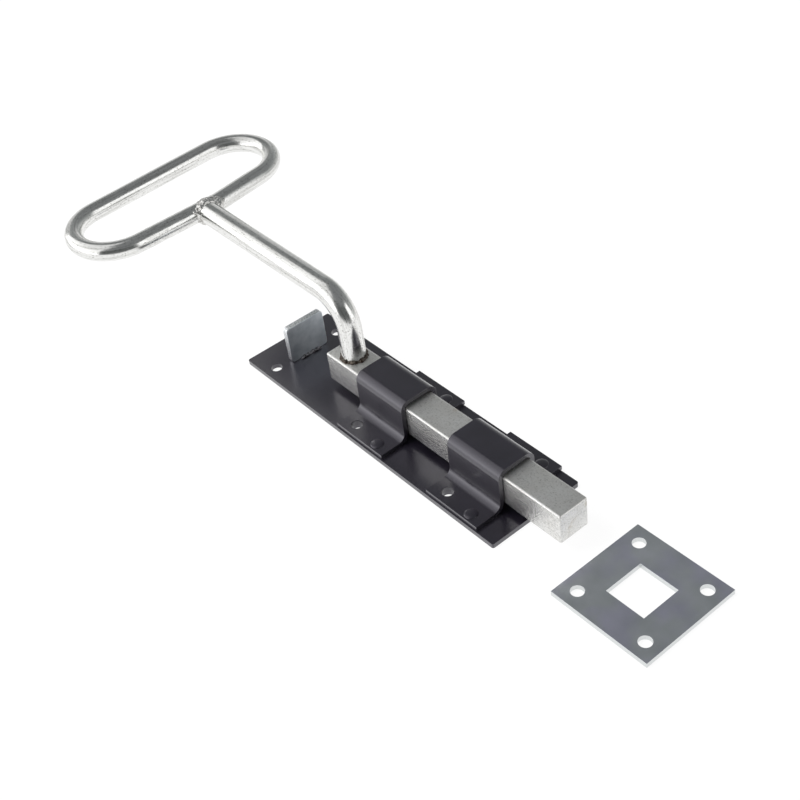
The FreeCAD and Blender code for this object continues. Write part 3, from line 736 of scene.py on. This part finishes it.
push = add_node(weld_bead, "ShaderNodeMath", {
    0: swell.outputs[0], 1: given.outputs["Lump height"]}, operation="MULTIPLY")
outward = add_node(weld_bead, "GeometryNodeInputNormal")
shift = add_node(weld_bead, "ShaderNodeVectorMath", {
    0: outward.outputs[0], "Scale": push.outputs[0]}, operation="SCALE")
lumpy = add_node(weld_bead, "GeometryNodeSetPosition", {
    "Geometry": sunk.outputs[0], "Offset": shift.outputs[0]})
end_tree(weld_bead, given, result, lumpy.outputs[0])
print("weld bead tree has", len(weld_bead.nodes), "nodes")

# %% [markdown]
# Four beads. A fat ring with a few smears over it goes round the joint of stem and bow, and is
# coated with the same zinc. A thin burnt ring goes round the foot of the stem, and a short line
# along each side of the stop tab.

# %% Weld beads
TAB_FRONT_X, TAB_REAR_X, PLATE_TOP_Z = -70.6, -73.8, 2.4
TAB_BEAD_OUT, TAB_BEAD_UP = 0.35, 0.3
TAB_BEAD_START, TAB_BEAD_LENGTH, TAB_BEAD_STEPS = -6.4, 12.0, 8
JOINT_RING, FOOT_RING, FOOT_RING_UP = 4.9, 6.0, 0.1
JOINT_SMEARS_MM = [
    [(-148.6, -3.0, 57.4), (-148.8, 1.5, 57.6), (-148.4, 5.5, 57.2)],
    [(-146.6, -3.6, 57.6), (-146.8, 0.5, 58.2), (-146.6, 5.0, 57.8), (-146.0, 8.0, 56.4),
     (-145.9, 9.4, 55.0)],
    [(-145.6, -5.8, 56.4), (-145.2, -6.6, 55.6)],
    [(-144.4, 4.6, 57.0), (-144.0, 6.4, 55.6), (-144.2, 7.2, 53.8)],
]


def ring_path(middle, radius, across, up, count=48):
    """Points and edges of a ring about middle, in the plane of two directions."""
    middle, across, up = Vector(middle), Vector(across), Vector(up)
    turns = [2 * math.pi * i / count for i in range(count)]
    points = [middle + radius * (across * math.cos(turn) + up * math.sin(turn)) for turn in turns]
    return points, [(i, (i + 1) % count) for i in range(count)]


joint_points, joint_edges = ring_path((STEM_END_X, 0, GRIP_Z), JOINT_RING, (0, 1, 0), (0, 0, 1))
for smear in JOINT_SMEARS_MM:
    first = len(joint_points)
    joint_points += smear
    joint_edges += [(i, i + 1) for i in range(first, len(joint_points) - 1)]
joint = grow("joint_weld", weld_bead, joint_points, joint_edges, zinc_weld,
             radius=2.6 * MM, lump_size=2.8 * MM, lump_height=0.6 * MM, raggedness=1.5,
             melting=8, seed=4)
settle(joint, "bolt", "weld_metal", "grip_weld")

foot_points, foot_edges = ring_path((STEM_X, 0, STEM_FOOT_Z + FOOT_RING_UP), FOOT_RING,
                                    (1, 0, 0), (0, 1, 0))
foot = grow("foot_weld", weld_bead, foot_points, foot_edges, rusty_weld,
            radius=1.0 * MM, lump_size=1.2 * MM, lump_height=0.6 * MM, raggedness=3.0,
            melting=2, seed=7)
settle(foot, "bolt", "weld_metal", "stem_weld")

tab_edges = [(i, i + 1) for i in range(TAB_BEAD_STEPS)]
for name, x, seed, node in (
        ("tab_front_bead", TAB_FRONT_X + TAB_BEAD_OUT, 2, "stop_tab_front_weld"),
        ("tab_rear_bead", TAB_REAR_X - TAB_BEAD_OUT, 5, "stop_tab_rear_weld")):
    tab_points = [(x, TAB_BEAD_START + TAB_BEAD_LENGTH * i / TAB_BEAD_STEPS,
                   PLATE_TOP_Z + TAB_BEAD_UP) for i in range(TAB_BEAD_STEPS + 1)]
    bead = grow(name, weld_bead, tab_points, tab_edges, tab_weld,
                radius=1.0 * MM, lump_size=1.6 * MM, lump_height=0.5 * MM, raggedness=3.0,
                melting=2, seed=seed)
    settle(bead, "mount", "weld_metal", node)

# %% [markdown]
# Four rivets hold the guides. Each is one dome above the guide's foot and one cone in the plate's
# countersunk hole below. The tree makes a single rivet and sets it on every given point.

# %% Rivets
RIVET_ROWS_X, RIVET_OUT_Y = (8.2, 71.8), 21
RIVET_GRIP = 4.6
RIVET_SIDES = 40
RIVET_PLACES = [(x, y, RIVET_GRIP) for x in RIVET_ROWS_X for y in (-RIVET_OUT_Y, RIVET_OUT_Y)]

domed_rivets, given, result = start_tree("domed_rivets", [
    "Head radius", "Head height", "Shank radius", "Grip"])
ball = add_node(domed_rivets, "GeometryNodeMeshUVSphere", {
    "Segments": RIVET_SIDES, "Rings": RIVET_SIDES // 2, "Radius": 1.0})
squash = add_node(domed_rivets, "ShaderNodeCombineXYZ", {
    "X": given.outputs["Head radius"], "Y": given.outputs["Head radius"],
    "Z": given.outputs["Head height"]})
head = add_node(domed_rivets, "GeometryNodeTransform", {
    "Geometry": ball.outputs[0], "Scale": squash.outputs[0]})
down = add_node(domed_rivets, "ShaderNodeMath", {
    0: given.outputs["Grip"], 1: -1.0}, operation="MULTIPLY")
drop = add_node(domed_rivets, "ShaderNodeCombineXYZ", {"Z": down.outputs[0]})
tail = add_node(domed_rivets, "GeometryNodeMeshCone", {
    "Vertices": RIVET_SIDES, "Radius Top": given.outputs["Shank radius"],
    "Radius Bottom": given.outputs["Head radius"], "Depth": given.outputs["Shank radius"]})
low_tail = add_node(domed_rivets, "GeometryNodeTransform", {
    "Geometry": tail.outputs[0], "Translation": drop.outputs[0]})
rivet = add_node(domed_rivets, "GeometryNodeJoinGeometry")
domed_rivets.links.new(head.outputs[0], rivet.inputs[0])
domed_rivets.links.new(low_tail.outputs[0], rivet.inputs[0])
dotted = add_node(domed_rivets, "GeometryNodeInstanceOnPoints", {
    "Points": given.outputs["Geometry"], "Instance": rivet.outputs[0]})
end_tree(domed_rivets, given, result, dotted.outputs[0])
rivets = grow("guide_rivets", domed_rivets, RIVET_PLACES, [], black_enamel,
              head_radius=3.2 * MM, head_height=0.7 * MM, shank_radius=2.0 * MM,
              grip=RIVET_GRIP * MM)
settle(rivets, "mount", "rivet_steel", "rear_guide_rivet_near", "rear_guide_rivet_far",
       "front_guide_rivet_near", "front_guide_rivet_far")
